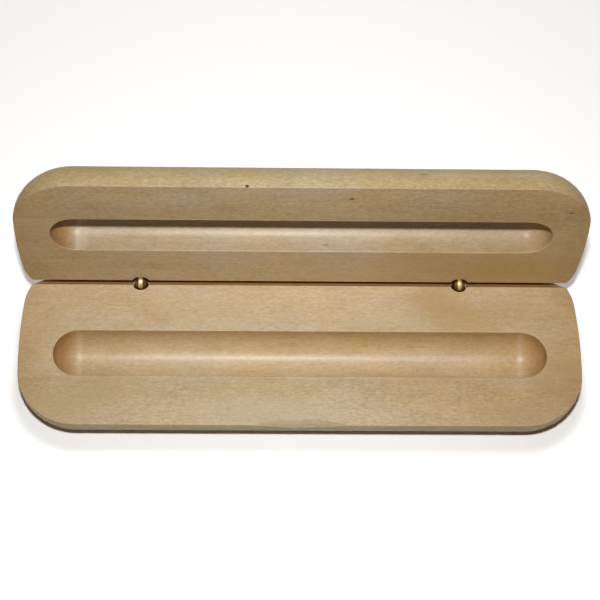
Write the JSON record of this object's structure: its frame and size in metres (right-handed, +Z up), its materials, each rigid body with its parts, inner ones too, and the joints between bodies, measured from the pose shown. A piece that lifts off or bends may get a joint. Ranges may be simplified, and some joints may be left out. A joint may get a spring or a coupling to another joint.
{
  "type": "pen case",
  "caption": "Hinged wooden pen case: base and lid with bowed ends and rounded outer edges, a round-bottomed pen groove in each, joined by brass barrel hinges that let the lid stand open.",
  "frame": {"origin": "centre of the base's outline on its flat underside", "axes": "+X along the case to the right, +Y to the back where the hinges are, +Z up; the lid stands open at its stop"},
  "size_m": [0.178, 0.0674, 0.0646],
  "materials": {
    "maple": "satin varnish, fine straight grain along the case",
    "brass": "turned, browned with age",
    "pin_brass": "drawn wire, ends dressed flush, browned with age"
  },
  "bodies": {
    "base": {"base_half": "maple", "left_base_barrel": "brass", "right_base_barrel": "brass", "left_hinge_pin": "pin_brass", "right_hinge_pin": "pin_brass"},
    "lid": {"lid_half": "maple", "left_lid_barrel": "brass", "right_lid_barrel": "brass"}
  },
  "joints": [
    {"name": "lid_hinge", "type": "hinge", "parent": "base", "child": "lid", "pos_m": [0, 0.02125, 0.0143], "axis": [1, 0, 0], "range_deg": [0, 94]}
  ]
}
